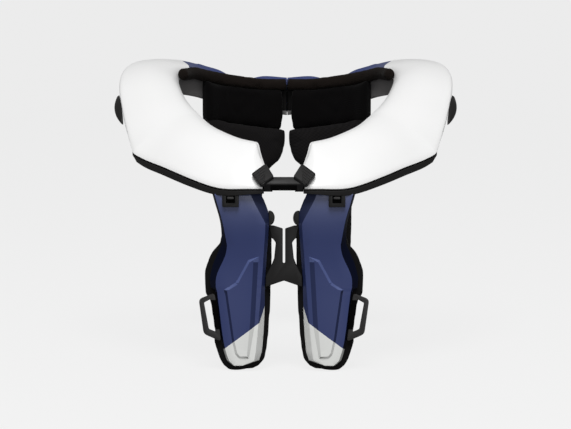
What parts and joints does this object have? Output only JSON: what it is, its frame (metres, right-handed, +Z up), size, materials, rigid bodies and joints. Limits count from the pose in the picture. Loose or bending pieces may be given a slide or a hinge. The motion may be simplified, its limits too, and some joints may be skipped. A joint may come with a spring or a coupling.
{
  "type": "neck brace",
  "caption": "Rigid neck brace for riders: a hinged collar on padded chest legs and back wings, with strap loops and a front clip.",
  "frame": {"origin": "on the floor under the middle of the brace's bounding box, standing on its four feet", "axes": "+Z up, -Y towards the wearer's chest, +X to the right of a viewer who faces the chest side"},
  "size_m": [0.3092, 0.2756, 0.2632],
  "materials": {
    "white_plastic": "moulded, soft gloss",
    "blue_plastic": "moulded, satin; the leg plates have a white tip",
    "black_plastic": "moulded, fine grain",
    "grey_plastic": "moulded, fine grain",
    "foam_fabric": "fabric over soft foam",
    "steel": "plain pin"
  },
  "bodies": {
    "left_half": {"collar_panel_left": "white_plastic", "collar_tray_left": "black_plastic", "side_bumper_left": "black_plastic", "rear_shell_left": "blue_plastic", "rear_frame_left": "grey_plastic", "rim_roll_left": "foam_fabric", "rear_pad_left": "foam_fabric", "wing_pad_left": "foam_fabric", "wing_plate_left": "blue_plastic", "leg_plate_left": "blue_plastic", "leg_pad_left": "foam_fabric", "leg_loop_left": "black_plastic", "leg_buckle_left": "black_plastic", "buckle_tongue_left": "black_plastic", "web_knob_left": "black_plastic", "front_clip": "black_plastic", "chest_web": "black_plastic", "hinge_leaf_left": "black_plastic", "hinge_pin": "steel"},
    "right_half": {"collar_panel_right": "white_plastic", "collar_tray_right": "black_plastic", "side_bumper_right": "black_plastic", "rear_shell_right": "blue_plastic", "rear_frame_right": "grey_plastic", "rim_roll_right": "foam_fabric", "rear_pad_right": "foam_fabric", "wing_pad_right": "foam_fabric", "wing_plate_right": "blue_plastic", "leg_plate_right": "blue_plastic", "leg_pad_right": "foam_fabric", "leg_loop_right": "black_plastic", "leg_buckle_right": "black_plastic", "buckle_tongue_right": "black_plastic", "web_knob_right": "black_plastic", "hinge_leaf_right": "black_plastic"}
  },
  "joints": [
    {"name": "rear_hinge", "type": "hinge", "parent": "left_half", "child": "right_half", "pos_m": [0, 0.1342, 0.2245], "axis": [0, 0, 1], "range_deg": [0, 50]}
  ]
}
